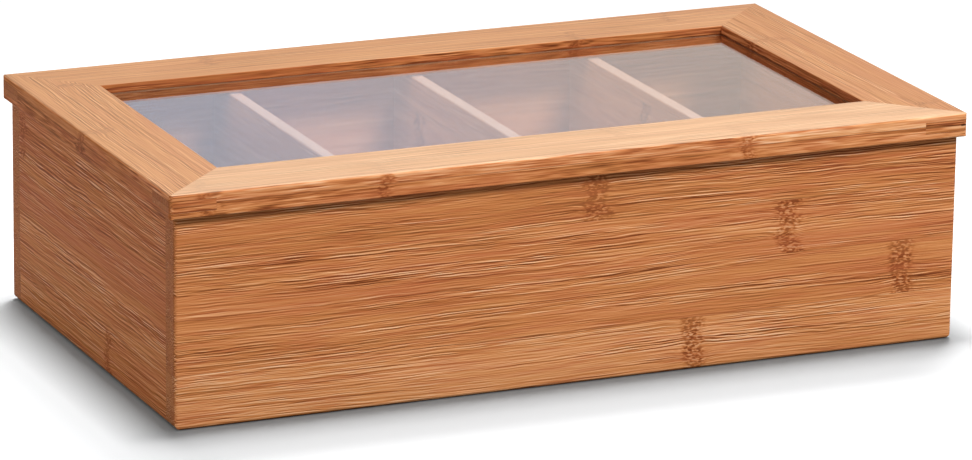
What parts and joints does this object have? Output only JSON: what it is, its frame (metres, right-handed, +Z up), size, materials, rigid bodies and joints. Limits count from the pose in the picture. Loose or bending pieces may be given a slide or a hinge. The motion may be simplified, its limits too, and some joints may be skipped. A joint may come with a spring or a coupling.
{
  "type": "tea bag organizer box",
  "caption": "Low bamboo storage box with divided compartments and a hinged lid that frames a clear window.",
  "frame": {"origin": "middle of the footprint, on the surface that the closed box stands on", "axes": "+X along the width to the right, -Y to the front, +Z up"},
  "size_m": [0.36, 0.205, 0.1002],
  "materials": {
    "walls": "oiled bamboo, satin",
    "inner_boards": "pale bamboo, satin",
    "lid_frame": "oiled bamboo, satin",
    "corner_keys": "bamboo end grain",
    "window": "clear, polished",
    "hinge_metal": "plated, satin",
    "hinge_pins": "bright drawn wire",
    "screws": "plated"
  },
  "bodies": {
    "box": {"front_wall": "walls", "back_wall": "walls", "left_wall": "walls", "right_wall": "walls", "bottom_panel": "inner_boards", "divider_left": "inner_boards", "divider_middle": "inner_boards", "divider_right": "inner_boards", "left_hinge_box_leaf": "hinge_metal", "right_hinge_box_leaf": "hinge_metal", "left_hinge_pin": "hinge_pins", "right_hinge_pin": "hinge_pins", "box_leaf_screws": "screws"},
    "lid": {"lid_front_rail": "lid_frame", "lid_back_rail": "lid_frame", "lid_left_stile": "lid_frame", "lid_right_stile": "lid_frame", "corner_key_front_left": "corner_keys", "corner_key_front_right": "corner_keys", "corner_key_back_left": "corner_keys", "corner_key_back_right": "corner_keys", "window_pane": "window", "left_hinge_lid_leaf": "hinge_metal", "right_hinge_lid_leaf": "hinge_metal", "lid_leaf_screws": "screws"}
  },
  "joints": [
    {"name": "lid_hinge", "type": "hinge", "parent": "box", "child": "lid", "pos_m": [0, 0.1, 0.0896], "axis": [-1, 0, 0], "range_deg": [0, 100]}
  ]
}
